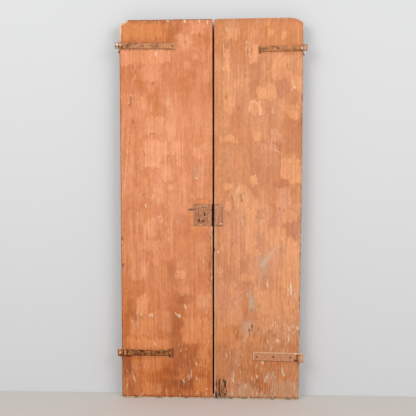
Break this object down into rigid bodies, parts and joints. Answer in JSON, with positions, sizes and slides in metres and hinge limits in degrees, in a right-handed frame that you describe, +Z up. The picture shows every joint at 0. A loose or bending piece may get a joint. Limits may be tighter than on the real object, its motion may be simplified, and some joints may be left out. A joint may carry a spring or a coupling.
{
  "type": "double-leaf plank door",
  "caption": "Old painted plank door with flush leaves on battens, wrought strap hinges turning on driven pintles, and a cut-in lock with a sliding bolt and strike plate.",
  "frame": {"origin": "middle of the closed pair at floor level, halfway through its depth", "axes": "+X to the right seen from the painted face, +Y away from the viewer, +Z up"},
  "size_m": [0.9866, 0.0952, 2.006],
  "materials": {
    "leaf_paint": "worn matt paint on wood",
    "batten_wood": "aged bare wood",
    "painted_strap": "wrought iron under worn paint",
    "rusty_strap": "rusty wrought iron",
    "pintle_iron": "dark rusty iron",
    "nail_iron": "rusty iron",
    "plate_iron": "pitted sheet iron under worn paint",
    "lock_iron": "dark oiled iron"
  },
  "bodies": {
    "pintles": {"left_top_pintle": "pintle_iron", "left_bottom_pintle": "pintle_iron", "right_top_pintle": "pintle_iron", "right_bottom_pintle": "pintle_iron"},
    "left_leaf": {"left_leaf_panel": "leaf_paint", "left_top_batten": "batten_wood", "left_middle_batten": "batten_wood", "left_bottom_batten": "batten_wood", "left_top_strap": "painted_strap", "left_bottom_strap": "rusty_strap", "left_strap_nails": "nail_iron", "left_batten_nails": "nail_iron", "lock_plate": "plate_iron", "lock_case": "lock_iron", "bolt_stud": "lock_iron", "lock_spring": "lock_iron", "lock_plate_nails": "nail_iron", "bent_nail": "nail_iron"},
    "right_leaf": {"right_leaf_panel": "leaf_paint", "right_top_batten": "batten_wood", "right_middle_batten": "batten_wood", "right_bottom_batten": "batten_wood", "right_top_strap": "painted_strap", "right_bottom_strap": "painted_strap", "right_strap_nails": "nail_iron", "right_batten_nails": "nail_iron", "strike_plate": "plate_iron", "strike_nails": "nail_iron"},
    "lock_bolt": {"lock_bolt": "lock_iron"}
  },
  "joints": [
    {"name": "left_leaf_swing", "type": "hinge", "parent": "pintles", "child": "left_leaf", "pos_m": [-0.48275, -0.037, 1], "axis": [0, 0, -1], "range_deg": [0, 110]},
    {"name": "right_leaf_swing", "type": "hinge", "parent": "pintles", "child": "right_leaf", "pos_m": [0.48275, -0.037, 1], "axis": [0, 0, 1], "range_deg": [0, 110]},
    {"name": "bolt_throw", "type": "slide", "parent": "left_leaf", "child": "lock_bolt", "axis": [1, 0, 0], "range_m": [0, 0.018]}
  ]
}
